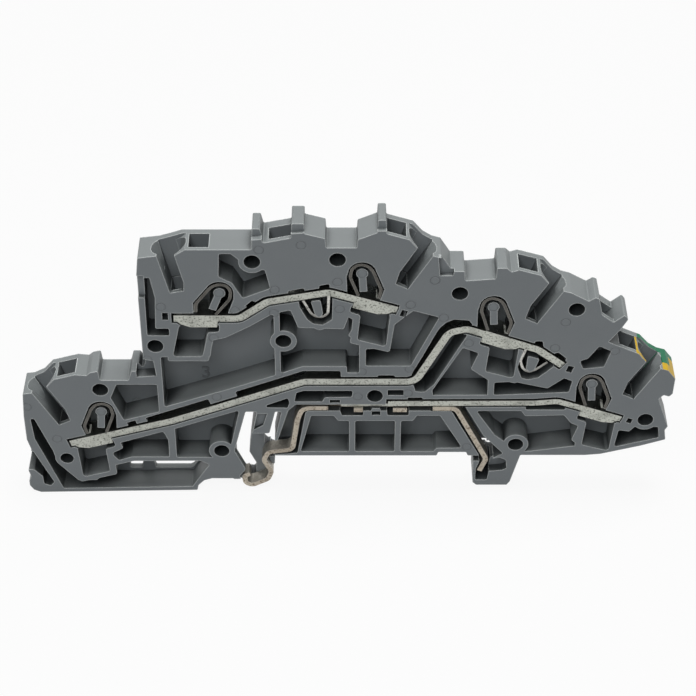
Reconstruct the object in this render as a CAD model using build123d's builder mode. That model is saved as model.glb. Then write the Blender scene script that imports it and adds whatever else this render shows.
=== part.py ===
from build123d import *
import math
import os
from collections import namedtuple

# Open-sided terminal block for a 35 mm mounting rail, with three stepped levels of spring clamps.
# X runs along the block, Y across it with the open side at -Y, and Z away from the rail.
# The origin is the middle of the rail seat. All sizes are in millimetres.

# Housing walls
block_width = 5.2
back_wall = 1.0
front_skin = 0.7
rib = 0.9
trough_wall = 0.8
chamber_wall = 0.9
boss_wall = 0.8
fit_gap = 0.12

# Rail
rail_width = 35.0
rail_flange = 1.0
rail_gap = 0.2
rail_half = rail_width / 2

# Current bars, stamped from strip
bar_strip = 1.2
bar_width = 3.7
ground_strip = 1.0
eye_depth = 1.1
eye_wall = 0.8
bar_bend = 2.2
bar_back = back_wall + 0.3
trough_lift = 0.5
tongue_strip = 0.55
tongue_set_back = 0.3

# Springs and rail contact
spring_strip = 0.45
spring_width = 3.6
loop_radius = 1.5
contact_strip = 0.8
contact_width = 2.3
contact_set_back = 0.05
contact_bend = 1.1
contact_notch = 1.3
jumper_strip = 0.4
jumper_width = 2.6
spring_back = back_wall + 0.5
spring_gap = 0.05

# Round details
pin_radius = 0.9
pin_stem = 1.15
peg_radius = 1.25
small_peg_radius = 1.08
peg_depth = 3.6

# Clamp geometry, measured along the clamp from the middle of the pin that holds the spring
clamp_reach = 7.2
pocket_radius = 2.15
window_start = -6.6
window_end = -3.6

# Wire funnels, at the top and where they meet the wire slot
funnel_top = (-7.8, 8.6)
funnel_top_length = 6.2
funnel_top_width = 3.9
funnel_foot = (-6.9, 3.2)
funnel_foot_length = 2.7
funnel_foot_width = 3.4
funnel_middle = 2.95
funnel_corner = 0.48

# A clamp: where its pin stands, how the whole clamp leans, which way its wire comes in,
# how high its top parts are, how far under the pin the bar lies and how much more the bar dips
Clamp = namedtuple("Clamp", "x z lean side crown lip slot_floor drop dip")
lower_left = Clamp(-44.1, 9.4, 16.0, 1, 8.35, 6.6, -0.4, 4.6, 0.0)
upper_left = Clamp(-24.4, 33.3, 0.0, 1, 8.15, 7.0, 0.4, 4.5, 0.0)
upper_right = Clamp(-2.8, 37.0, -17.0, -1, 8.05, 6.25, -0.4, 4.5, 1.2)
middle_right = Clamp(17.2, 30.6, -17.0, -1, 7.8, 6.0, -0.7, 4.85, 3.8)
ground_right = Clamp(33.3, 15.2, -17.0, -1, 7.8, 6.1, -0.6, 4.8, 2.8)
clamps = {
    "lower_left": lower_left,
    "upper_left": upper_left,
    "upper_right": upper_right,
    "middle_right": middle_right,
    "ground_right": ground_right,
}


def level(height):
    # A plane parallel to the back of the block, this far in front of it
    return Plane.XZ.offset(height - block_width / 2)


def at(clamp, x, z):
    # A point given from the clamp's pin, as a point of the block
    turn = math.radians(clamp.lean)
    along = x * clamp.side
    return (
        clamp.x + along * math.cos(turn) - z * math.sin(turn),
        clamp.z + along * math.sin(turn) + z * math.cos(turn),
    )


def all_at(clamp, *points):
    return [at(clamp, x, z) for x, z in points]


def on_bar(clamp, x, z):
    # A point given from the spot on top of the bar that lies under the clamp's pin
    dip = math.radians(clamp.dip)
    return at(
        clamp,
        x * math.cos(dip) - z * math.sin(dip),
        x * math.sin(dip) + z * math.cos(dip) - clamp.drop,
    )


def all_on_bar(clamp, *points):
    return [on_bar(clamp, x, z) for x, z in points]


nearly_straight = 168


def corner_radii(points, radius):
    # The wanted radius at each corner, or less where the sides beside it are short
    radii = []
    for i, corner in enumerate(points):
        here = Vector(*corner)
        before = Vector(*points[i - 1]) - here
        after = Vector(*points[(i + 1) % len(points)]) - here
        angle = before.get_angle(after)
        room = 0.45 * min(before.length, after.length) * math.tan(math.radians(angle) / 2)
        radii.append(min(radius, room) if angle < nearly_straight else 0)
    return radii


def patch(points, radius=0, mode=Mode.ADD):
    # A closed outline with rounded corners, added to or taken from the sketch
    turns = [a[0] * b[1] - b[0] * a[1] for a, b in zip(points, points[1:] + points[:1])]
    if sum(turns) < 0:
        points = points[::-1]
    with BuildLine() as edge:
        FilletPolyline(*points, radius=corner_radii(points, radius), close=True)
    make_face(edge.edges(), mode=mode)


def band(points, width, radius=0, mode=Mode.ADD):
    # A strip of even width that follows a path
    with BuildLine() as path:
        if len(points) > 2:
            FilletPolyline(*points, radius=corner_radii(points, radius)[1:-1])
        else:
            Line(*points)
    trace(path.edges(), line_width=width, mode=mode)


def stretched(path, extra):
    # The same path carried on a little at both ends
    first = Vector(*path[0])
    last = Vector(*path[-1])
    first += (first - Vector(*path[1])).normalized() * extra
    last += (last - Vector(*path[-2])).normalized() * extra
    return [(first.X, first.Y), *path[1:-1], (last.X, last.Y)]


def moved(points, x, z):
    return [(a + x, b + z) for a, b in points]


def across(clamp, x, z):
    # A plane across the clamp, square to its own upright
    turn = math.radians(clamp.lean)
    middle_x, middle_z = at(clamp, x, z)
    return Plane(
        origin=(middle_x, block_width / 2 - funnel_middle, middle_z),
        x_dir=(math.cos(turn), 0, math.sin(turn)),
        z_dir=(-math.sin(turn), 0, math.cos(turn)),
    )


# Paths of the strips, seen from the open side
def clamp_line(clamp, x, strip=bar_strip):
    return on_bar(clamp, x, -strip / 2)


upper_path = [
    clamp_line(upper_left, -clamp_reach),
    clamp_line(upper_left, 2.9),
    (-17.2, 31.45),
    (-7.8, 33.25),
    clamp_line(upper_right, -clamp_reach),
]
middle_path = [
    clamp_line(lower_left, -clamp_reach),
    (-33.0, 7.25),
    (-11.8, 15.5),
    (5.6, 15.5),
    (10.6, 25.45),
    (13.3, 26.15),
    clamp_line(middle_right, -9.5),
    at(middle_right, -14.25, -7.95),
]
ground_path = [
    (1.4, 10.95),
    (24.6, 11.05),
    (28.2, 11.4),
    clamp_line(ground_right, -clamp_reach, ground_strip),
]
tongue_path = [(-6.0, 10.43), (2.2, 10.43)]

# Each bar lies in a trough that leaves a gap along its upper side
troughs = [(upper_path, bar_strip), (middle_path, bar_strip), (ground_path, ground_strip)]
trough_shift = (-0.18 * trough_lift, 0.46 * trough_lift)

# Rail contact, one bent strip from the left hook to the right foot
contact_path = [
    (-20.9, -4.15),
    (-21.8, -4.5),
    (-21.7, -6.1),
    (-20.6, -6.65),
    (-18.0, -5.3),
    (-17.35, -3.6),
    (-18.6, -1.0),
    (-17.8, 0.65),
    (-13.9, 1.25),
    (-13.0, 7.6),
    (-12.3, 9.7),
    (-11.2, 10.1),
    (-8.1, 10.1),
    (-6.8, 9.7),
    (5.6, 9.7),
    (7.4, 9.98),
    (12.2, 9.98),
    (17.4, -0.8),
    (16.4, -3.4),
]
contact_notches = [(-8.1, -4.0), (-2.6, 2.2), (4.4, 8.5)]

# Tops of the block
outline_corner = 0.25
left_floor = 15.95
middle_floor = 35.6
tower_face = -36.75


def head(clamp):
    # The top of a clamp, from the wire side to the far side
    return all_at(
        clamp,
        (-10.4, clamp.lip),
        (-9.0, clamp.lip),
        (-7.4, clamp.lip + 0.5),
        (-5.5, clamp.crown),
        (-1.3, clamp.crown),
    )


outline = [
    (-56.0, 1.4),
    (-56.5, 3.5),
    (-56.5, 8.5),
    (-56.2, 13.1),
    (-54.8, 13.3),
    *head(lower_left)[2:],
    (-45.9, 16.9),
    (-45.2, 17.5),
    (-44.0, 17.8),
    (-43.8, left_floor),
    (-39.3, left_floor),
    (-38.8, 17.8),
    (-37.7, 17.8),
    (-37.2, 16.8),
    (tower_face, 17.8),
    (tower_face, 36.6),
    (-36.4, 39.9),
    *head(upper_left)[1:],
    (-19.3, upper_left.z + upper_left.crown),
    (-19.2, 44.5),
    (-18.0, 44.5),
    (-17.6, 42.7),
    (-13.4, 43.6),
    (-13.3, 45.8),
    (-11.4, 45.8),
    (-11.4, 44.4),
    (-8.3, 43.5),
    (-8.2, 41.8),
    (-3.6, 41.8),
    (-3.5, 43.3),
    (-0.6, 44.6),
    (-0.5, 46.3),
    (0.7, 46.3),
    (0.8, 44.4),
    *reversed(head(upper_right)[:4]),
    (10.5, 37.4),
    (12.6, 37.4),
    (12.7, middle_floor),
    (17.3, middle_floor + 0.4),
    (17.4, 38.0),
    (18.9, 38.0),
    (19.6, 37.3),
    *reversed(head(middle_right)),
    (31.6, 31.7),
    (32.6, 32.4),
    (33.2, 32.1),
    (33.9, 29.0),
    (35.7, 27.6),
    (37.3, 29.0),
    (37.9, 28.2),
    (36.9, 26.2),
    (35.2, 23.7),
    *reversed(head(ground_right)[:4]),
    (46.3, 16.3),
    (46.2, 13.2),
    (45.7, 12.6),
    (44.8, 12.9),
    (44.1, 12.1),
    (46.1, 6.3),
    (45.7, 5.5),
    (46.0, 3.5),
    (42.0, 2.1),
    (35.8, 0.35),
    (33.4, 0.1),
    (22.9, 0.1),
    (21.5, -5.7),
    (21.0, -6.5),
    (16.0, -6.5),
    (15.4, -5.9),
    (15.3, -rail_flange - rail_gap),
    (rail_half + rail_gap, -rail_flange - rail_gap),
    (rail_half + rail_gap, 0.0),
    (14.4, 0.0),
    (14.1, 0.75),
    (9.6, 0.75),
    (9.4, 0.0),
    (-rail_half, 0.0),
    (-17.6, -0.9),
    (-16.9, -1.5),
    (-16.9, -2.6),
    (-17.6, -3.6),
    (-17.5, -5.2),
    (-18.1, -7.0),
    (-20.3, -7.8),
    (-21.9, -7.8),
    (-22.8, -7.0),
    (-23.6, -5.05),
    (-27.1, -5.05),
    (-28.4, -5.5),
    (-29.4, -6.6),
    (-29.6, -7.65),
    (-55.3, -8.1),
    (-56.4, -7.6),
    (-57.0, -6.6),
    (-57.0, -5.6),
    (-56.6, -4.6),
    (-56.9, -3.3),
]

# Pegs of the next block press into these holes
pegs = [
    (-43.9, 14.0),
    (-34.7, 22.9),
    (-19.3, 39.2),
    (-6.5, 39.6),
    (-14.9, 23.9),
    (12.0, 33.2),
    (29.9, 30.1),
    (22.0, 2.4),
    (-0.7, 12.7),
    (42.4, 7.7),
    (-25.3, 1.0),
]
small_pegs = [(-50.4, -0.6)]

# Recesses that leave the ribs and lands standing, each given by its own corners
recesses = {
    "beside_lower_left": [(-41.3, 15.1), (-34.9, 15.1), (-34.9, 9.4), (-40.6, 7.6), (-42.4, 12.3)],
    "under_tower": [
        (-34.0, 20.7),
        (-26.2, 20.9),
        (-26.0, 24.0),
        (-23.8, 24.6),
        (-19.9, 26.9),
        (-16.3, 29.4),
        (-16.3, 17.0),
        (-22.7, 14.5),
        (-34.0, 10.4),
    ],
    "tower_edge": [
        (-35.7, 36.2),
        (-34.8, 36.2),
        (-34.2, 32.4),
        (-34.5, 26.4),
        (-32.4, 26.4),
        (-32.4, 25.0),
        (-35.8, 25.0),
    ],
    "beside_upper_left": [
        (-24.2, 40.7),
        (-22.4, 40.7),
        (-21.0, 39.3),
        (-20.0, 37.7),
        (-17.4, 37.7),
        (-16.7, 34.2),
        (-20.9, 32.3),
        (-22.4, 35.2),
        (-24.4, 36.4),
    ],
    "between_bars": [
        (-15.4, 29.6),
        (-13.7, 30.0),
        (-12.6, 26.6),
        (-5.6, 26.3),
        (-4.8, 28.9),
        (-3.4, 28.4),
        (-4.9, 25.0),
        (-3.2, 23.6),
        (-3.2, 17.5),
        (-5.1, 17.5),
        (-5.1, 18.8),
        (-12.0, 18.8),
        (-15.4, 17.4),
    ],
    "right_of_upper": [(-2.2, 18.9), (-2.2, 22.3), (1.3, 22.6), (2.0, 27.0), (5.0, 29.9), (9.0, 28.6), (4.8, 18.9)],
    "beside_middle": [(12.8, 22.6), (15.3, 21.5), (14.2, 18.3), (17.0, 16.0), (17.0, 12.5), (8.5, 12.5), (8.3, 13.9)],
    "over_ground": [(18.0, 12.9), (18.0, 15.5), (21.0, 15.7), (26.4, 14.3), (28.9, 16.4), (30.2, 15.8), (29.8, 13.5)],
    "ground_left": [
        (15.4, 9.6),
        (22.6, 9.6),
        (23.2, 8.5),
        (29.4, 8.7),
        (30.6, 7.0),
        (31.8, 6.4),
        (30.9, 3.4),
        (32.2, 2.2),
        (24.4, 0.95),
        (22.6, 0.95),
        (18.6, 4.4),
    ],
    "over_ground_clamp": [(33.9, 22.9), (35.8, 21.9), (34.9, 18.7), (31.7, 18.3), (31.1, 19.9), (32.3, 20.4)],
    "ground_right": [(37.5, 4.4), (38.5, 5.5), (40.0, 5.2), (40.8, 6.2), (44.6, 6.2), (44.9, 3.9), (38.0, 1.9)],
    "left_of_rail_1": [(-41.8, 2.7), (-34.5, 5.2), (-33.8, 3.4), (-33.8, -0.3), (-39.9, -0.3), (-42.0, -1.1), (-43.2, 0.6)],
    "left_of_rail_2": [(-32.6, 5.9), (-22.2, 9.7), (-23.7, 2.5), (-26.0, -0.4), (-32.6, -0.4)],
    "over_rail_1": [(-10.8, 8.6), (-7.2, 8.6), (-6.5, 7.5), (-4.75, 7.5), (-4.75, 0.85), (-12.6, 0.85)],
    "over_rail_2": [(-3.8, 7.5), (2.55, 7.5), (2.55, 0.85), (-3.8, 0.85)],
    "over_rail_3": [(3.5, 7.5), (5.4, 7.5), (6.0, 8.6), (9.7, 8.6), (13.4, 1.7), (9.3, 1.55), (8.8, 0.85), (3.5, 0.85)],
    "middle_left": [(-13.1, 13.3), (-12.4, 13.8), (-4.2, 13.8), (-4.3, 12.5), (-8.6, 12.4), (-9.0, 11.5), (-13.4, 11.5)],
    "middle_right": [(1.3, 14.1), (3.8, 14.1), (3.8, 12.5), (1.3, 12.5)],
    "corner": [(-18.9, 10.3), (-14.4, 12.3), (-14.2, 11.2), (-14.5, 10.2)],
    "left_end": [
        (-55.5, 7.9),
        (-54.9, 7.9),
        (-52.5, 1.0),
        (-52.0, -1.6),
        (-48.9, -5.5),
        (-45.9, -5.4),
        (-43.3, -2.3),
        (-41.0, -1.6),
        (-39.6, -1.2),
        (-28.8, -1.15),
        (-27.4, -2.0),
        (-29.5, -5.4),
        (-30.4, -6.9),
        (-51.5, -7.3),
        (-55.2, 3.6),
    ],
    "lever": [(-58.5, -2.9), (-55.9, -3.2), (-54.7, -4.6), (-54.6, -6.3), (-53.6, -6.7), (-52.9, -5.9), (-55.7, 0.9), (-58.5, 1.8)],
}
recess_corner = 0.3

# Slots right through the block, which let the left foot flex
through_slots = [
    [(-40.6, -2.0), (-39.4, -1.35), (-38.4, -1.35), (-38.2, -1.9), (-38.9, -6.5), (-40.9, -6.5)],
    [(-37.5, -1.3), (-28.8, -1.25), (-27.6, -2.0), (-30.4, -6.2), (-30.9, -6.5), (-36.6, -6.5)],
    [
        (-21.2, 9.4),
        (-19.4, 9.4),
        (-20.3, 4.8),
        (-20.8, 0.7),
        (-21.0, -1.4),
        (-19.95, -3.8),
        (-20.0, -6.3),
        (-20.4, -6.8),
        (-21.8, -6.6),
        (-23.2, -3.3),
        (-23.2, 1.2),
    ],
    [
        (-16.5, 9.4),
        (-15.5, 9.4),
        (-16.8, 2.6),
        (-16.75, 0.5),
        (-16.65, -0.4),
        (-18.0, -0.6),
        (-18.5, 0.0),
        (-18.3, 4.7),
        (-17.5, 4.9),
    ],
]
slot_corner = 0.25
eyelet = (18.15, -1.1)
eyelet_radius = 0.65

# The flexing leg of the left foot is thinner than the rest
foot_level = 2.7
contact_back = block_width - contact_width - contact_set_back
nose_level = 4.0
nose = [(-17.85, -1.25), (-17.1, -1.2), (-16.8, -1.6), (-16.85, -2.7), (-17.1, -3.0), (-17.5, -2.3)]
foot_area = [
    (-20.6, 4.8),
    (-17.9, 4.8),
    (-17.0, 2.4),
    (-16.5, -8.5),
    (-23.8, -8.5),
    (-23.8, -5.2),
    (-22.5, -5.2),
    (-20.9, 0.7),
]

# A web in front of the foot's hinge, beside the contact
web_depth = 1.2
web = [
    (-23.4, 1.0),
    (-23.0, 0.45),
    (-21.6, -2.9),
    (-21.75, -3.4),
    (-22.5, -4.3),
    (-22.6, -5.05),
    (-23.4, -5.05),
]

# Channel that the rail contact lies in
contact_channels = [
    [
        (-8.0, 10.95),
        (-13.2, 10.95),
        (-14.4, 9.7),
        (-16.2, 3.4),
        (-17.6, 2.6),
        (-17.6, 0.1),
        (-16.4, 0.25),
        (-13.1, 0.5),
        (-11.7, 9.2),
        (-11.3, 9.6),
        (-8.0, 9.6),
    ],
    [
        (8.0, 10.95),
        (13.4, 10.95),
        (16.7, 4.4),
        (20.1, 0.4),
        (18.3, -0.7),
        (18.0, -3.0),
        (17.7, -5.4),
        (15.8, -5.4),
        (15.8, -3.0),
        (16.4, -1.0),
        (16.1, 0.3),
        (11.5, 9.5),
        (8.0, 9.5),
    ],
]
centre_channel = [(-8.2, 10.95), (8.2, 10.95), (8.2, 9.6), (-8.2, 9.6)]
centre_pockets = [
    [(-6.2, 10.5), (-2.5, 10.5), (-2.5, 8.6), (-5.9, 8.6), (-6.2, 9.6)],
    [(1.2, 10.5), (4.7, 10.5), (4.7, 8.6), (1.3, 8.6)],
]
centre_lug = [(-1.3, 9.6), (-1.1, 10.1), (0.1, 10.1), (0.3, 9.6)]
centre_window = [(-1.2, 9.5), (0.2, 9.5), (0.2, 8.7), (-1.2, 8.7)]
tunnel_front = contact_back + contact_width - contact_notch + fit_gap
tunnel = [(-8.4, 10.3), (8.2, 10.3), (8.2, 9.18), (-8.4, 9.18)]

# Clear spaces beside the bars, open at the front
bar_windows = [
    [(-37.2, 8.1), (-27.0, 12.1), (-26.4, 10.2), (-36.4, 6.3)],
    [(-22.7, 13.6), (-16.4, 16.1), (-12.0, 17.9), (-6.1, 17.9), (-6.0, 15.7), (-11.8, 15.7), (-22.2, 11.8)],
    [
        (4.9, 17.1),
        (6.6, 20.8),
        (8.7, 25.7),
        (9.2, 26.6),
        (10.1, 27.6),
        (11.3, 28.2),
        (13.6, 28.0),
        (14.1, 27.2),
        (13.8, 26.3),
        (10.8, 25.6),
        (6.0, 16.2),
    ],
    [(5.3, 15.0), (5.7, 13.6), (7.1, 13.5), (8.5, 15.0), (13.5, 25.3), (10.6, 25.2)],
    [(23.2, 10.6), (29.4, 10.9), (29.5, 9.8), (23.2, 9.8)],
    [(-14.0, 32.6), (-14.0, 33.7), (-11.5, 34.3), (-11.5, 33.1)],
    [(-9.3, 33.4), (-9.3, 34.7), (-7.7, 35.1), (-7.7, 33.8)],
    [(-0.3, 15.9), (-0.3, 17.0), (2.4, 17.0), (2.4, 15.9)],
    [(23.8, 22.6), (23.9, 23.9), (25.1, 23.9), (25.4, 21.9)],
    [(26.7, 20.6), (27.1, 21.5), (27.7, 21.6), (29.0, 20.4), (28.6, 19.3)],
]

# Ways for the jumper combs, from the top down to the bars, hidden behind the front
upper_jumper_way = [(-17.5, 46.0), (-13.6, 46.0), (-11.9, 32.6), (-14.2, 32.2)]
middle_jumper_way = [(34.2, 32.0), (37.6, 29.6), (28.6, 20.0), (26.6, 22.0)]
jumper_way_floor = back_wall + 0.6
jumper_way_depth = 2.8
upper_jumper_well = [(-13.8, 33.0), (-11.6, 33.4), (-11.9, 28.6), (-13.4, 28.6)]

# Jumper springs, each one bent strip round a moulded core
upper_jumper_spring = [(-11.8, 31.0), (-10.6, 28.5), (-9.9, 27.9), (-8.9, 27.75), (-8.0, 28.5), (-7.85, 32.2)]
upper_jumper_core = [(-10.6, 31.7), (-9.1, 31.9), (-8.75, 29.3), (-9.3, 28.5), (-9.95, 29.1)]
upper_jumper_room = [
    (-12.5, 32.2),
    (-12.3, 30.6),
    (-11.1, 28.1),
    (-10.2, 27.3),
    (-8.8, 27.1),
    (-7.4, 28.1),
    (-7.25, 33.0),
]
upper_jumper_wall = [(-13.4, 32.0), (-12.3, 27.8), (-9.3, 26.0), (-6.5, 27.4), (-6.2, 33.0)]
middle_jumper_spring = [(22.75, 21.5), (21.95, 19.0), (22.45, 17.4), (23.4, 16.7), (24.4, 17.2), (26.2, 18.75)]
middle_jumper_core = [(22.95, 20.9), (24.8, 20.3), (24.15, 18.1), (23.4, 17.65), (22.8, 18.3)]
middle_jumper_room = [
    (22.4, 23.0),
    (21.45, 18.6),
    (22.2, 16.4),
    (23.3, 16.1),
    (24.8, 16.5),
    (27.7, 19.4),
    (25.0, 21.9),
]
middle_jumper_wall = [(22.0, 22.0), (20.7, 18.3), (22.0, 15.5), (25.3, 15.6), (28.2, 18.6), (26.0, 21.6)]

# Steps that are only part of the way down from the front: outline and depth
steps = [
    ([(-19.35, 9.0), (-17.8, 9.0), (-18.5, 6.5), (-20.0, 5.6)], 0.6),
    ([(-7.8, 11.9), (-6.2, 11.9), (-6.2, 11.3), (-7.8, 11.3)], 1.2),
    ([(4.5, 12.4), (6.8, 12.4), (6.8, 11.6), (4.5, 11.6)], 1.2),
    ([(-33.3, 29.5), (-32.4, 29.5), (-32.4, 28.1), (-33.3, 28.1)], 1.5),
    ([(3.3, 30.1), (4.2, 29.8), (3.8, 28.6), (2.9, 28.9)], 1.5),
    ([(29.4, 19.0), (30.3, 18.7), (29.9, 17.5), (29.0, 17.8)], 1.5),
    ([(39.6, 8.1), (40.4, 7.8), (40.1, 6.9), (39.3, 7.2)], 1.5),
    ([(-40.2, 7.1), (-38.8, 7.6), (-38.6, 6.8), (-40.0, 6.4)], 1.2),
    ([(-20.6, 30.8), (-19.5, 31.9), (-18.7, 31.4), (-19.9, 30.3)], 1.2),
    ([(-38.0, 20.6), (-35.2, 19.9), (-34.9, 16.9), (-38.0, 16.6)], 2.0),
    ([(-38.0, 36.6), (-35.7, 36.6), (-35.7, 32.4), (-38.0, 32.4)], 0.8),
    ([(8.6, 40.0), (11.4, 39.2), (10.8, 36.6), (8.9, 36.6)], 0.8),
    ([(-19.6, 45.0), (-17.9, 45.0), (-17.7, 43.4), (-19.6, 43.2)], 1.1),
    ([(-13.6, 46.4), (-11.0, 46.4), (-11.0, 44.6), (-13.6, 44.4)], 0.6),
    ([(-0.9, 47.0), (1.1, 47.0), (1.1, 44.9), (-0.9, 44.9)], 0.8),
    ([(18.1, -0.9), (19.6, -0.4), (20.6, -1.0), (20.8, -2.8), (20.2, -3.2), (17.9, -3.5)], 1.6),
]


def spring_line(clamp):
    # From the edge that grips the wire, over the pin and down to the foot on the bar
    top = loop_radius
    foot = spring_strip / 2 + spring_gap
    return [
        on_bar(clamp, -3.8, foot + 0.5),
        *all_at(
            clamp,
            (-3.7, -2.2),
            (-1.55, 0.7),
            (-0.6, top),
            (0.9, top),
            (1.75, 0.4),
            (1.5, -1.3),
        ),
        on_bar(clamp, -0.7, foot),
    ]


def collar(clamp, strip, gap=0):
    # The collar pressed out of a bar, seen from the side
    return all_on_bar(
        clamp,
        (-clamp_reach - gap, gap),
        (-clamp_reach - gap, -0.7 - gap / 2),
        (1.0 - clamp_reach - gap / 2, -1.7 - gap),
        (-4.7, -strip - eye_depth - gap),
        (gap - 0.6, -strip - eye_depth - gap),
        (gap - 0.5, -strip),
        (gap - 0.5, gap),
    )


with BuildPart() as funnels:
    for clamp in clamps.values():
        with BuildSketch(across(clamp, *funnel_top)):
            RectangleRounded(funnel_top_length, funnel_top_width, funnel_corner * funnel_top_width)
        with BuildSketch(across(clamp, *funnel_foot)):
            RectangleRounded(funnel_foot_length, funnel_foot_width, funnel_corner * funnel_foot_length)
        loft(ruled=True)

with BuildPart() as housing:
    with BuildSketch(level(0)):
        patch(outline, outline_corner)
        for slot in through_slots:
            patch(slot, slot_corner, Mode.SUBTRACT)
        with Locations(eyelet):
            Circle(eyelet_radius, mode=Mode.SUBTRACT)
    extrude(amount=block_width)
    with BuildSketch(level(foot_level)):
        patch(foot_area)
    extrude(amount=block_width, mode=Mode.SUBTRACT)
    with BuildSketch(level(0)):
        patch(nose, 0.2)
    extrude(amount=nose_level)
    with BuildSketch(level(block_width - web_depth)):
        patch(web, 0.2)
    extrude(amount=web_depth)

    # Everything below the lands is cut down to the back wall
    with BuildSketch(level(back_wall)) as hollow:
        for corners in recesses.values():
            patch(corners, recess_corner)
        # Walls that stand in the recesses
        with Locations(*pegs):
            Circle(peg_radius + boss_wall, mode=Mode.SUBTRACT)
        with Locations(*small_pegs):
            Circle(small_peg_radius + boss_wall, mode=Mode.SUBTRACT)
        for path, strip in troughs:
            width = strip + trough_lift + 2 * (fit_gap + trough_wall)
            band(moved(path, *trough_shift), width, bar_bend, Mode.SUBTRACT)
        band([(-15.85, 29.5), (-15.85, 16.0)], rib, 0, Mode.SUBTRACT)
        patch(upper_jumper_wall, 0.8, Mode.SUBTRACT)
        patch(middle_jumper_wall, 0.6, Mode.SUBTRACT)
        for clamp in clamps.values():
            patch(
                all_at(
                    clamp,
                    (-6.4 - chamber_wall, -6.0),
                    (-7.7 - chamber_wall, -12.5 - chamber_wall),
                    (-3.1 + chamber_wall, -12.5 - chamber_wall),
                    (-2.1 + chamber_wall, -8.8),
                    (0.7, -8.3),
                    (0.6, -5.5),
                ),
                0.4,
                Mode.SUBTRACT,
            )
        # Open pockets of the clamps
        for clamp in clamps.values():
            patch(
                all_at(
                    clamp,
                    (-6.4, -6.3),
                    (-7.7, -12.5),
                    (-3.1, -12.5),
                    (-2.1, -7.7),
                    (-0.3, -7.6),
                    (-0.3, -6.0),
                ),
                0.5,
            )
            patch(collar(clamp, bar_strip, fit_gap))
            with Locations(at(clamp, 0, 0)):
                Circle(pocket_radius)
            patch(
                [
                    on_bar(clamp, -4.1, -0.2),
                    *all_at(
                        clamp,
                        (-4.1, -1.9),
                        (-2.0, 0.9),
                        (0, pocket_radius - 0.4),
                        (pocket_radius - 0.05, 0),
                        (2.1, -1.2),
                    ),
                    on_bar(clamp, 0.9, -0.2),
                ]
            )
            # Wire slot, open at the front
            patch(
                all_at(
                    clamp,
                    (-9.3, clamp.lip + 2),
                    (-9.1, clamp.lip - 0.1),
                    (-7.45, clamp.slot_floor - 0.4),
                    (-5.4, clamp.slot_floor),
                    (-5.3, 1.9),
                    (-6.45, clamp.crown - 1.1),
                    (-4.7, clamp.crown + 0.1),
                    (-4.7, clamp.crown + 2),
                )
            )
            with Locations(at(clamp, 0, 0)):
                Circle(pin_radius, mode=Mode.SUBTRACT)
            band(all_at(clamp, (0, 0), (-1.2, -3.2)), pin_stem, 0, Mode.SUBTRACT)
        patch(upper_jumper_room, 0.5)
        patch(upper_jumper_core, 0.3, Mode.SUBTRACT)
        patch(middle_jumper_room, 0.4)
        patch(middle_jumper_core, 0.3, Mode.SUBTRACT)
        for corners in bar_windows + contact_channels + centre_pockets:
            patch(corners, 0.3)
        patch(centre_channel)
        patch(centre_lug, 0, Mode.SUBTRACT)
        for path, strip in troughs:
            way = moved(stretched(path, 2 * fit_gap), *trough_shift)
            band(way, strip + trough_lift + 2 * fit_gap, bar_bend)
    extrude(amount=block_width, mode=Mode.SUBTRACT)

    # Behind the lug the contact runs on through a tunnel
    with BuildSketch(level(back_wall)):
        patch(tunnel)
    extrude(amount=tunnel_front - back_wall, mode=Mode.SUBTRACT)

    # Holes that the pegs of the next block press into
    with BuildSketch(level(block_width - peg_depth)):
        with Locations(*pegs):
            Circle(peg_radius)
        with Locations(*small_pegs):
            Circle(small_peg_radius)
        patch(centre_window)
    extrude(amount=block_width, mode=Mode.SUBTRACT)

    # Tool holes, wire funnels and wire ways stay closed at the front
    with BuildSketch(level(back_wall + 0.1)):
        for clamp in clamps.values():
            top = clamp.crown + 2
            patch(all_at(clamp, (-4.4, top), (-1.4, top), (-1.1, 1.4), (-2.9, -0.4), (-4.2, 1.5)))
    extrude(amount=block_width - front_skin - back_wall - 0.1, mode=Mode.SUBTRACT)
    add(funnels.part, mode=Mode.SUBTRACT)
    with BuildSketch(level(back_wall + 0.2)):
        for clamp in clamps.values():
            top = clamp.slot_floor + 0.5
            foot = all_on_bar(clamp, (-6.6, -0.1), (-3.9, -0.1))
            patch([at(clamp, -7.5, top), *foot, *all_at(clamp, (-3.9, -1.9), (-5.4, top))])
    extrude(amount=block_width - front_skin - back_wall - 0.2, mode=Mode.SUBTRACT)

    # Ways for the jumpers
    with BuildSketch(level(jumper_way_floor)):
        patch(upper_jumper_way)
        patch(middle_jumper_way)
        patch(upper_jumper_well)
    extrude(amount=jumper_way_depth, mode=Mode.SUBTRACT)

    for corners, depth in steps:
        with BuildSketch(level(block_width - depth)):
            patch(corners)
        extrude(amount=block_width, mode=Mode.SUBTRACT)


def open_collars(bar_clamps):
    # The wire passes down through a window in the bar and between the collar's flanges
    with BuildSketch(level(bar_back + eye_wall)) as openings:
        for clamp in bar_clamps:
            patch(
                all_on_bar(
                    clamp,
                    (window_start, 1),
                    (window_end, 1),
                    (window_end, -4),
                    (window_start, -4),
                )
            )
            patch(
                all_on_bar(
                    clamp,
                    (window_end + eye_wall, -bar_strip),
                    (0.2, -bar_strip),
                    (0.2, -bar_strip - eye_depth - 1),
                    (window_end + eye_wall, -bar_strip - eye_depth - 1),
                )
            )
    extrude(openings.sketch, amount=bar_width - 2 * eye_wall, mode=Mode.SUBTRACT)


with BuildPart() as upper_bus_bar:
    with BuildSketch(level(bar_back)):
        band(upper_path, bar_strip, bar_bend)
        patch(collar(upper_left, bar_strip))
        patch(collar(upper_right, bar_strip))
    extrude(amount=bar_width)
    open_collars([upper_left, upper_right])

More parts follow.
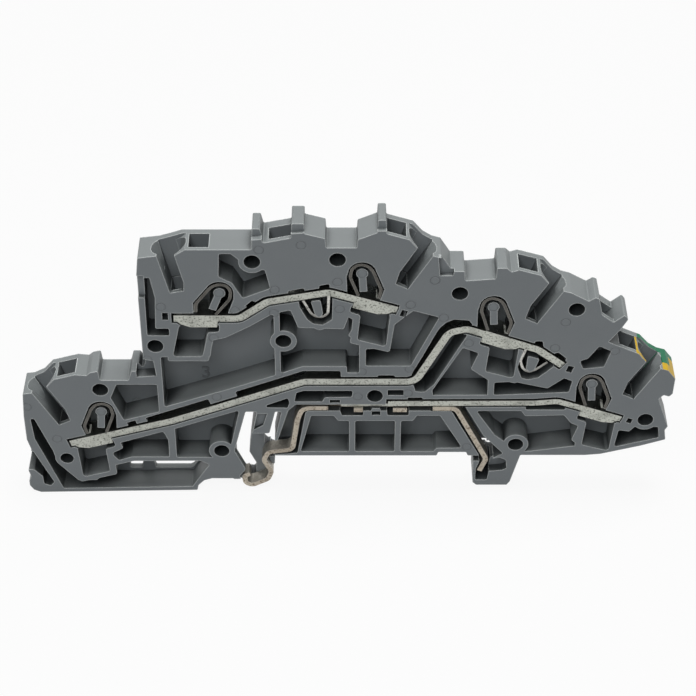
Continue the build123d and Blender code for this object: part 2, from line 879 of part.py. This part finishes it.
with BuildPart() as middle_bus_bar:
    with BuildSketch(level(bar_back)):
        band(middle_path, bar_strip, bar_bend)
        patch(collar(lower_left, bar_strip))
        patch(collar(middle_right, bar_strip))
    extrude(amount=bar_width)
    open_collars([lower_left, middle_right])

with BuildPart() as ground_bus_bar:
    with BuildSketch(level(bar_back)):
        band(ground_path, ground_strip, bar_bend)
        patch(collar(ground_right, ground_strip))
    extrude(amount=bar_width)
    open_collars([ground_right])
    with BuildSketch(level(bar_back)):
        band(tongue_path, tongue_strip)
    extrude(amount=bar_width - tongue_set_back)

with BuildPart() as rail_contact:
    with BuildSketch(level(contact_back)):
        band(contact_path, contact_strip, contact_bend)
    extrude(amount=contact_width)
    with BuildSketch(level(contact_back + contact_width - contact_notch)):
        for start, end in contact_notches:
            patch([(start, 11.5), (end, 11.5), (end, 8.5), (start, 8.5)])
    extrude(amount=contact_width, mode=Mode.SUBTRACT)

with BuildPart() as upper_jumper_clip:
    with BuildSketch(level(spring_back)):
        band(upper_jumper_spring, jumper_strip, 1.0)
    extrude(amount=jumper_width)

with BuildPart() as middle_jumper_clip:
    with BuildSketch(level(spring_back)):
        band(middle_jumper_spring, jumper_strip, 1.0)
    extrude(amount=jumper_width)

os.makedirs("parts", exist_ok=True)

housing.part.label = "housing"
export_step(housing.part, "parts/housing.step")
upper_bus_bar.part.label = "upper_bus_bar"
export_step(upper_bus_bar.part, "parts/upper_bus_bar.step")
middle_bus_bar.part.label = "middle_bus_bar"
export_step(middle_bus_bar.part, "parts/middle_bus_bar.step")
ground_bus_bar.part.label = "ground_bus_bar"
export_step(ground_bus_bar.part, "parts/ground_bus_bar.step")
rail_contact.part.label = "rail_contact"
export_step(rail_contact.part, "parts/rail_contact.step")
upper_jumper_clip.part.label = "upper_jumper_clip"
export_step(upper_jumper_clip.part, "parts/upper_jumper_clip.step")
middle_jumper_clip.part.label = "middle_jumper_clip"
export_step(middle_jumper_clip.part, "parts/middle_jumper_clip.step")

# One bent spring in each clamp
for place, clamp in clamps.items():
    with BuildPart() as clamp_spring:
        with BuildSketch(level(spring_back)):
            band(spring_line(clamp), spring_strip, loop_radius)
        extrude(amount=spring_width)
    clamp_spring.part.label = place + "_spring"
    export_step(clamp_spring.part, "parts/" + place + "_spring.step")
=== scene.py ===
import math

import bpy
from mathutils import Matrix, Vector


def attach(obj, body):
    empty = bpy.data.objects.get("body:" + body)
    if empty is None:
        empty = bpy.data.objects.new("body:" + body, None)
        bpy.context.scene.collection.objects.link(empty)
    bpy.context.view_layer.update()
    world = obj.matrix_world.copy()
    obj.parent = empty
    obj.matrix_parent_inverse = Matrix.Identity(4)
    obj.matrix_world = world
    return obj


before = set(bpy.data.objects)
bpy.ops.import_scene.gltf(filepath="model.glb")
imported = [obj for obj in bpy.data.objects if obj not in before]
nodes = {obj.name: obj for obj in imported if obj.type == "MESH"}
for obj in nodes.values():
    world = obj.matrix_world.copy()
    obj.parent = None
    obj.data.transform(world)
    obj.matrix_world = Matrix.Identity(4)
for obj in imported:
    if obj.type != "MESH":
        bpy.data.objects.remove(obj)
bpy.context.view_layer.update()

mm = 0.001
screenGamma = 2.2
print("frame loaded with", len(nodes), "nodes")


def tone(red, green, blue):
    # a colour as it is read off a screen, 0 to 255, for a shader socket
    return tuple((part / 255) ** screenGamma for part in (red, green, blue)) + (1.0,)


class Value:
    # a socket that can be added, multiplied and compared in plain expressions
    def __init__(self, finish, socket):
        self.finish = finish
        self.socket = socket

    def combine(self, operation, first, second):
        return self.finish.node("ShaderNodeMath", {"operation": operation}, {0: first, 1: second})

    def least(self, other):
        return self.combine("MINIMUM", self, other)

    def most(self, other):
        return self.combine("MAXIMUM", self, other)

    def __add__(self, other):
        return self.combine("ADD", self, other)

    __radd__ = __add__

    def __sub__(self, other):
        return self.combine("SUBTRACT", self, other)

    def __rsub__(self, other):
        return self.combine("SUBTRACT", other, self)

    def __mul__(self, other):
        return self.combine("MULTIPLY", self, other)

    __rmul__ = __mul__

    def __gt__(self, other):
        return self.combine("GREATER_THAN", self, other)

    def __lt__(self, other):
        return self.combine("LESS_THAN", self, other)

    def __abs__(self):
        return self.combine("ABSOLUTE", self, 0.0)


class Finish:
    # the nodes of one material, or of the world
    def __init__(self, owner, output="ShaderNodeOutputMaterial"):
        self.owner = owner
        self.owner.use_nodes = True
        self.tree = self.owner.node_tree
        self.tree.nodes.clear()
        self.output = self.tree.nodes.new(output)

    def node(self, kind, settings=None, sockets=None, out=0):
        made = self.tree.nodes.new(kind)
        for key, value in (settings or {}).items():
            if key == "stops":
                for stop in range(len(value) - 2):
                    made.color_ramp.elements.new(0.5)
                for element, (place, shade) in zip(made.color_ramp.elements, value):
                    element.position = place
                    element.color = shade
            else:
                setattr(made, key, value)
        for key, value in (sockets or {}).items():
            if isinstance(value, Value):
                self.tree.links.new(value.socket, made.inputs[key])
            else:
                made.inputs[key].default_value = value
        return Value(self, made.outputs[out])

    def mix(self, amount, first, second):
        # colours go through Mix, so they stay colours
        return self.node(
            "ShaderNodeMix",
            {"data_type": "RGBA"},
            {0: amount, 6: first, 7: second},
            out=2,
        )

    def vector(self, operation, first, second, out=0):
        return self.node("ShaderNodeVectorMath", {"operation": operation}, {0: first, 1: second}, out)

    def smooth(self, value, start, end):
        # 0 below start, 1 above end
        return self.node(
            "ShaderNodeMapRange",
            {"interpolation_type": "SMOOTHSTEP"},
            {"Value": value, "From Min": start, "From Max": end},
        )

    def place(self):
        return self.node("ShaderNodeTexCoord", out=3)

    def facing(self):
        return self.node("ShaderNodeTexCoord", out=1)

    def parts(self, vector):
        split = self.node("ShaderNodeSeparateXYZ", {}, {0: vector})
        found = split.socket.node.outputs
        return [Value(self, found[i]) for i in range(3)]

    def noise(self, where, size, detail=3.0, rough=0.55):
        # size is the width of one blotch in metres
        return self.node(
            "ShaderNodeTexNoise",
            {},
            {"Vector": where, "Scale": 1.0 / size, "Detail": detail, "Roughness": rough},
        )

    def edges(self, radius):
        # 1 on a sharp edge, 0 away from it
        rounded = self.node("ShaderNodeBevel", {"samples": 6}, {"Radius": radius})
        straight = self.node("ShaderNodeNewGeometry", out=1)
        return 1.0 - self.vector("DOT_PRODUCT", rounded, straight, out=1)

    def openness(self, reach):
        # 1 on an open face or an outer edge, less in an inner corner
        return self.node("ShaderNodeAmbientOcclusion", {"samples": 8}, {"Distance": reach}, out=1)

    def surface(self, sockets):
        return self.show(self.node("ShaderNodeBsdfPrincipled", {}, sockets))

    def seen(self):
        # 1 for what the camera sees, straight on, mirrored or through something clear
        rays = self.node("ShaderNodeLightPath").socket.node.outputs
        straight, mirrored, through = [
            Value(self, rays[ray])
            for ray in ("Is Camera Ray", "Is Glossy Ray", "Is Transmission Ray")
        ]
        return straight.most(mirrored).most(through)

    def show(self, shader):
        self.tree.links.new(shader.socket, self.output.inputs["Surface"])
        return self.owner


def newFinish(name):
    return Finish(bpy.data.materials.new(name))


# moulded housing
housingLook = {
    "land": tone(103, 108, 111),
    # painted shade: faces that do not face the front are painted a little darker than the front lands
    "sideShade": tone(101, 105, 105),
    "fleck": tone(118, 122, 123),
    "flecks": 0.9,
    # painted highlight along the outer edges
    "edgeHighlight": tone(186, 190, 188),
    "wearAndHighlight": 0.8,
    "highlightFrom": 0.01,
    "highlightFull": 0.16,
    "edgeWidth": 0.28 * mm,
    "cornerReach": 0.5 * mm,
    "cornerDark": 0.72,
    "cornerOpen": 0.95,
    # painted shade in narrow recesses, reached by ambient occlusion
    "shade": tone(44, 47, 48),
    "shadeReach": 3.6 * mm,
    "shadeFull": 0.34,
    "shadeNone": 0.86,
    "grain": 0.16 * mm,
    "cloud": 6.0 * mm,
    "roughness": 0.46,
    "roughChange": 0.16,
    "shine": 0.42,
    "grainHeight": 0.012 * mm,
    "frontFacing": -0.8,
    "mark": tone(62, 65, 67),
    "markShows": 0.35,
    "markRadius": 0.72 * mm,
    "markGroove": 0.13 * mm,
    "markDepth": 0.09 * mm,
    "green": tone(6, 88, 60),
    "yellow": tone(172, 140, 18),
}

# round marks that the mould's pins leave, in mm as x and z
pinMarks = [
    (-33.4, 30.6), (-25.6, 24.5), (-36.1, 20.2), (-22.1, 29.9), (-18.2, 41.4), (-11.9, 42.3),
    (-16.0, 33.9), (-16.2, 29.4), (-6.2, 30.2), (-6.5, 35.4), (4.6, 31.0), (8.2, 35.7),
    (9.7, 28.5), (27.1, 22.5), (28.4, 27.6), (-2.8, 17.7), (-15.9, 17.3), (13.7, 23.5),
    (4.5, 13.3), (-3.4, 12.6), (14.2, 1.9), (-51.6, 3.6), (-55.8, 10.4), (-38.8, 7.9),
    (-25.6, 12.5), (4.7, 18.3), (36.4, 21.9), (-24.4, 33.3), (-2.8, 37.0), (17.2, 30.6),
    (33.3, 15.2), (-44.1, 9.4),
]

# earth colours round the last wire entry, some of it measured from that clamp's pin and along its lean
earthMarks = {
    "pin": (33.3 * mm, 15.2 * mm),
    "lean": math.radians(-17.0),
    "greenFrom": 40.3 * mm,
    "backRim": 1.45 * mm,
    "greenLowest": 15.0 * mm,
    "rimStart": -6.9 * mm,
    "rimEnd": -4.6 * mm,
    "rimHeight": 11.12 * mm,
    "rimSlope": 0.686,
    "rimWidth": 0.36 * mm,
    "rimFront": -1.7 * mm,
    "partStart": -4.95 * mm,
    "partEnd": -4.3 * mm,
    "partHeight": 7.0 * mm,
    "lipFrom": 44.2 * mm,
    "lipLowest": 13.2 * mm,
    "lipFront": -0.9 * mm,
    "lipEnd": 45.5 * mm,
    "wallFacing": 0.2,
    "endFacing": 0.6,
    "partFacing": 0.8,
}


def nearestMark(finish, flat):
    # distance to the nearest of the round marks
    nearest = None
    for x, z in pinMarks:
        away = finish.vector("DISTANCE", flat, (x * mm, 0.0, z * mm), out=1)
        nearest = away if nearest is None else nearest.least(away)
    return nearest


def earthMasks(finish, x, y, z, faceX, faceZ, front):
    # where the moulding is green and where it is yellow
    marks = earthMarks
    fromX = x - marks["pin"][0]
    fromZ = z - marks["pin"][1]
    along = 0.0 - (fromX * math.cos(marks["lean"]) + fromZ * math.sin(marks["lean"]))
    up = fromZ * math.cos(marks["lean"]) - fromX * math.sin(marks["lean"])
    upward = faceZ > marks["wallFacing"]
    behind = y > marks["backRim"]
    wall = behind * upward * (x > marks["greenFrom"]) * (z > marks["greenLowest"])

    rim = abs(up - along * marks["rimSlope"] - marks["rimHeight"]) < marks["rimWidth"]
    rim = rim * (along > marks["rimStart"]) * (along < marks["rimEnd"])
    rim = rim * (1.0 - front) * (y < marks["rimFront"])
    part = (faceZ > marks["partFacing"]) * (along > marks["partStart"]) * (along < marks["partEnd"])
    part = part * (up > marks["partHeight"]) * (1.0 - behind)

    outward = upward.most(faceX > marks["endFacing"]) * (1.0 - wall)
    lip = outward * (x > marks["lipFrom"]) * (z > marks["lipLowest"])
    tip = (y < marks["lipFront"]).most(x > marks["lipEnd"]) * lip
    green = wall.most(lip * (1.0 - tip))
    yellow = tip.most(rim.most(part))
    return green, yellow


def housingFinish():
    look = housingLook
    finish = newFinish("mouldedGrey")
    where = finish.place()
    x, y, z = finish.parts(where)
    faceX, faceY, faceZ = finish.parts(finish.facing())
    front = faceY < look["frontFacing"]
    grain = finish.noise(where, look["grain"], detail=4.0)
    cloud = finish.noise(where, look["cloud"], detail=2.0)

    # painted shade: faces other than the front ones take the slightly darker tone
    colour = finish.mix(front, look["sideShade"], look["land"])
    colour = finish.mix(grain * cloud * look["flecks"], colour, look["fleck"])
    # painted shade: narrow recesses are painted darker; painted highlight: only outer edges are painted
    # light
    space = finish.openness(look["shadeReach"])
    narrow = 1.0 - finish.smooth(space, look["shadeFull"], look["shadeNone"])
    colour = finish.mix(narrow * (1.0 - front), colour, look["shade"])
    # painted highlight: outer edges only, kept out of inner corners
    corner = finish.openness(look["cornerReach"])
    outer = finish.smooth(corner, look["cornerDark"], look["cornerOpen"])
    edgeHighlight = finish.smooth(finish.edges(look["edgeWidth"]), look["highlightFrom"], look["highlightFull"])
    colour = finish.mix(edgeHighlight * outer * look["wearAndHighlight"], colour, look["edgeHighlight"])

    flat = finish.vector("MULTIPLY", where, (1.0, 0.0, 1.0))
    mark = nearestMark(finish, flat)
    groove = finish.smooth(abs(mark - look["markRadius"]), 0.0, look["markGroove"])
    ring = (1.0 - groove) * front
    colour = finish.mix(ring * look["markShows"], colour, look["mark"])

    green, yellow = earthMasks(finish, x, y, z, faceX, faceZ, front)
    colour = finish.mix(green, colour, look["green"])
    colour = finish.mix(yellow, colour, look["yellow"])

    height = grain * look["grainHeight"] - ring * look["markDepth"]
    bump = finish.node("ShaderNodeBump", {}, {"Height": height, "Distance": 1.0, "Strength": 0.8})
    return finish.surface({
        "Base Color": colour,
        "Roughness": look["roughness"] + (grain - 0.5) * look["roughChange"],
        "Specular IOR Level": look["shine"],
        "Normal": bump,
    })


# stamped and bent metal
barLook = {
    "edge": tone(182, 184, 176),
    "skin": tone(168, 170, 164),
    "pit": tone(52, 53, 48),
    "pitFrom": 0.51,
    "speck": 0.34 * mm,
    "stain": 2.6 * mm,
    "roughEdge": 0.52,
    "roughSkin": 0.3,
}
contactLook = {
    "edge": tone(176, 168, 154),
    "skin": tone(184, 180, 170),
    "pit": tone(84, 70, 58),
    "pitFrom": 0.51,
    "speck": 0.3 * mm,
    "stain": 3.4 * mm,
    "roughEdge": 0.5,
    "roughSkin": 0.46,
}
clipLook = {
    "edge": tone(205, 204, 198),
    "skin": tone(170, 170, 166),
    "pit": tone(110, 108, 102),
    "pitFrom": 0.53,
    "speck": 0.2 * mm,
    "stain": 2.0 * mm,
    "roughEdge": 0.34,
    "roughSkin": 0.24,
}
clampSpringLook = {
    "edge": tone(96, 94, 90),
    "skin": tone(60, 59, 57),
    "pit": tone(44, 42, 40),
    "pitFrom": 0.53,
    "speck": 0.25 * mm,
    "stain": 2.0 * mm,
    "roughEdge": 0.4,
    "roughSkin": 0.26,
}


# what all the metals share
metalWearAndHighlight = {
    "cutFacing": 0.8,
    "pitRange": 0.13,
    "pitsOnSkin": 0.35,
    "pitsOnCut": 0.5,
    "stainFrom": 0.45,
    "stainFull": 0.75,
    "stainShows": 0.3,
    # painted highlight on the sharp edges of the metal
    "edgeWidth": 0.1 * mm,
    "edgeFrom": 0.02,
    "edgeFull": 0.25,
    "edgeHighlightShows": 0.4,
    "edgeHighlightColour": tone(226, 226, 220),
    "relief": 0.03 * mm,
    "roughChange": 0.2,
}


def metalFinish(name, look):
    # the cut edge of the strip is matt and pitted, its rolled faces are smooth
    finish = newFinish(name)
    where = finish.place()
    faceX, faceY, faceZ = finish.parts(finish.facing())
    wearAndHighlight = metalWearAndHighlight
    cut = abs(faceY) > wearAndHighlight["cutFacing"]
    speck = finish.noise(where, look["speck"], detail=5.0, rough=0.7)
    stain = finish.noise(where, look["stain"], detail=2.0)
    pits = finish.smooth(speck, look["pitFrom"], look["pitFrom"] + wearAndHighlight["pitRange"])
    colour = finish.mix(cut, look["skin"], look["edge"])
    colour = finish.mix(pits * (wearAndHighlight["pitsOnSkin"] + wearAndHighlight["pitsOnCut"] * cut), colour, look["pit"])
    stained = finish.smooth(stain, wearAndHighlight["stainFrom"], wearAndHighlight["stainFull"])
    colour = finish.mix(stained * wearAndHighlight["stainShows"], colour, look["pit"])
    # painted highlight: sharp edges are painted light
    edgeHighlight = finish.smooth(finish.edges(wearAndHighlight["edgeWidth"]), wearAndHighlight["edgeFrom"], wearAndHighlight["edgeFull"])
    colour = finish.mix(edgeHighlight * wearAndHighlight["edgeHighlightShows"], colour, wearAndHighlight["edgeHighlightColour"])
    height = (speck - pits) * wearAndHighlight["relief"]
    bump = finish.node("ShaderNodeBump", {}, {"Height": height, "Distance": 1.0, "Strength": 0.7})
    smoothness = look["roughSkin"] + (look["roughEdge"] - look["roughSkin"]) * cut
    return finish.surface({
        "Base Color": colour,
        "Metallic": 1.0,
        "Roughness": smoothness + (stain - 0.5) * wearAndHighlight["roughChange"],
        "Normal": bump,
    })


finishes = {
    "housing": housingFinish(),
    "bus_bar": metalFinish("tinnedBar", barLook),
    "rail_contact": metalFinish("railContact", contactLook),
    "clip": metalFinish("brightClip", clipLook),
    "spring": metalFinish("clampSpring", clampSpringLook),
}
for name, node in nodes.items():
    kind = next(key for key in finishes if key in name)
    for holder in node.material_slots:
        holder.material = finishes[kind]
print("materials on", len(nodes), "nodes")


# raised cavity number on the back wall
cavityNumber = {
    "text": "3",
    "height": 3.3 * mm,
    "raised": 0.2 * mm,
    "rounding": 0.02 * mm,
    "at": (-28.3 * mm, 1.6 * mm, 13.1 * mm),
    # painted shade: the number is painted darker than the moulding it belongs to
    "colour": tone(86, 90, 92),
}


# painted shade on the raised number
def numberFinish():
    finish = newFinish("numberPaintedShade")
    return finish.surface({"Base Color": cavityNumber["colour"], "Roughness": housingLook["roughness"]})


def makeCavityNumber():
    given = cavityNumber
    outline = bpy.data.curves.new("cavityNumberOutline", "FONT")
    outline.body = given["text"]
    outline.size = given["height"]
    outline.extrude = given["raised"] / 2
    outline.bevel_depth = given["rounding"]
    outline.resolution_u = 6
    shown = bpy.data.objects.new("cavityNumberText", outline)
    bpy.context.collection.objects.link(shown)
    settled = shown.evaluated_get(bpy.context.evaluated_depsgraph_get())
    mesh = bpy.data.meshes.new_from_object(settled)
    bpy.data.objects.remove(shown)
    for vertex in mesh.vertices:
        across, up, out = vertex.co
        vertex.co = Vector(given["at"]) + Vector((across, -out, up))
    piece = bpy.data.objects.new("cavity_number", mesh)
    bpy.context.collection.objects.link(piece)
    mesh.materials.clear()
    mesh.materials.append(numberFinish())
    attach(piece, "root")
    print("cavity number made")


makeCavityNumber()


# floor, light and camera
studio = {
    "floorLevel": -8.1 * mm,
    "floorSize": 4.0,
    "floorColour": (0.45, 0.45, 0.45, 1.0),
    "floorWhite": 0.92,
    "skyColour": (0.93, 0.96, 1.0, 1.0),
    "skyLight": 0.08,
    "backdrop": (1.0, 1.0, 1.0, 1.0),
}
lampsAimAt = (0.0, 0.0, 0.02)
lamps = {
    "keyLamp": {"at": (0.05, 0.06, 0.8), "size": 0.36, "power": 7.0},
    "fillLamp": {"at": (-0.15, -0.5, 0.62), "size": 0.5, "power": 3.75},
}
cameraView = {
    "at": (-0.00494, -0.2448, 0.2229),
    "looksAt": (-0.00494, -0.0026, 0.02254),
    "lens": 105.2,
    "sensor": 36.0,
    "nearest": 0.01,
}


def makeFloor():
    half = studio["floorSize"] / 2
    level = studio["floorLevel"]
    corners = [(-half, -half, level), (half, -half, level), (half, half, level), (-half, half, level)]
    mesh = bpy.data.meshes.new("floor")
    mesh.from_pydata(corners, [], [(0, 1, 2, 3)])
    floor = bpy.data.objects.new("floor", mesh)
    bpy.context.collection.objects.link(floor)
    finish = newFinish("paleFloor")
    white = finish.seen() * studio["floorWhite"]
    matt = finish.node("ShaderNodeBsdfDiffuse", {}, {"Color": studio["floorColour"]})
    glow = finish.node("ShaderNodeEmission", {}, {"Color": studio["backdrop"], "Strength": 1.0})
    both = finish.node("ShaderNodeMixShader", {}, {0: white, 1: matt, 2: glow})
    mesh.materials.append(finish.show(both))


def makeSky():
    # the camera sees white, the object is lit by a faint sky
    sky = Finish(bpy.data.worlds.new("studioSky"), "ShaderNodeOutputWorld")
    faint = {"Color": studio["skyColour"], "Strength": studio["skyLight"]}
    light = sky.node("ShaderNodeBackground", {}, faint)
    white = sky.node("ShaderNodeBackground", {}, {"Color": studio["backdrop"], "Strength": 1.0})
    both = sky.node("ShaderNodeMixShader", {}, {0: sky.seen(), 1: light, 2: white})
    bpy.context.scene.world = sky.show(both)


def aim(thing, place, target):
    thing.location = place
    towards = Vector(target) - Vector(place)
    thing.rotation_euler = towards.to_track_quat("-Z", "Y").to_euler()


def makeLamps():
    for name, given in lamps.items():
        light = bpy.data.lights.new(name, "AREA")
        light.shape = "DISK"
        light.size = given["size"]
        light.energy = given["power"]
        lamp = bpy.data.objects.new(name, light)
        bpy.context.collection.objects.link(lamp)
        aim(lamp, given["at"], lampsAimAt)


def makeCamera():
    lens = bpy.data.cameras.new("photoCamera")
    lens.lens = cameraView["lens"]
    lens.sensor_width = cameraView["sensor"]
    lens.clip_start = cameraView["nearest"]
    camera = bpy.data.objects.new("photoCamera", lens)
    bpy.context.collection.objects.link(camera)
    aim(camera, cameraView["at"], cameraView["looksAt"])
    bpy.context.scene.camera = camera


makeFloor()
makeSky()
makeLamps()
makeCamera()
bpy.context.scene.view_settings.view_transform = "Standard"
print("floor, sky, lamps and camera made")
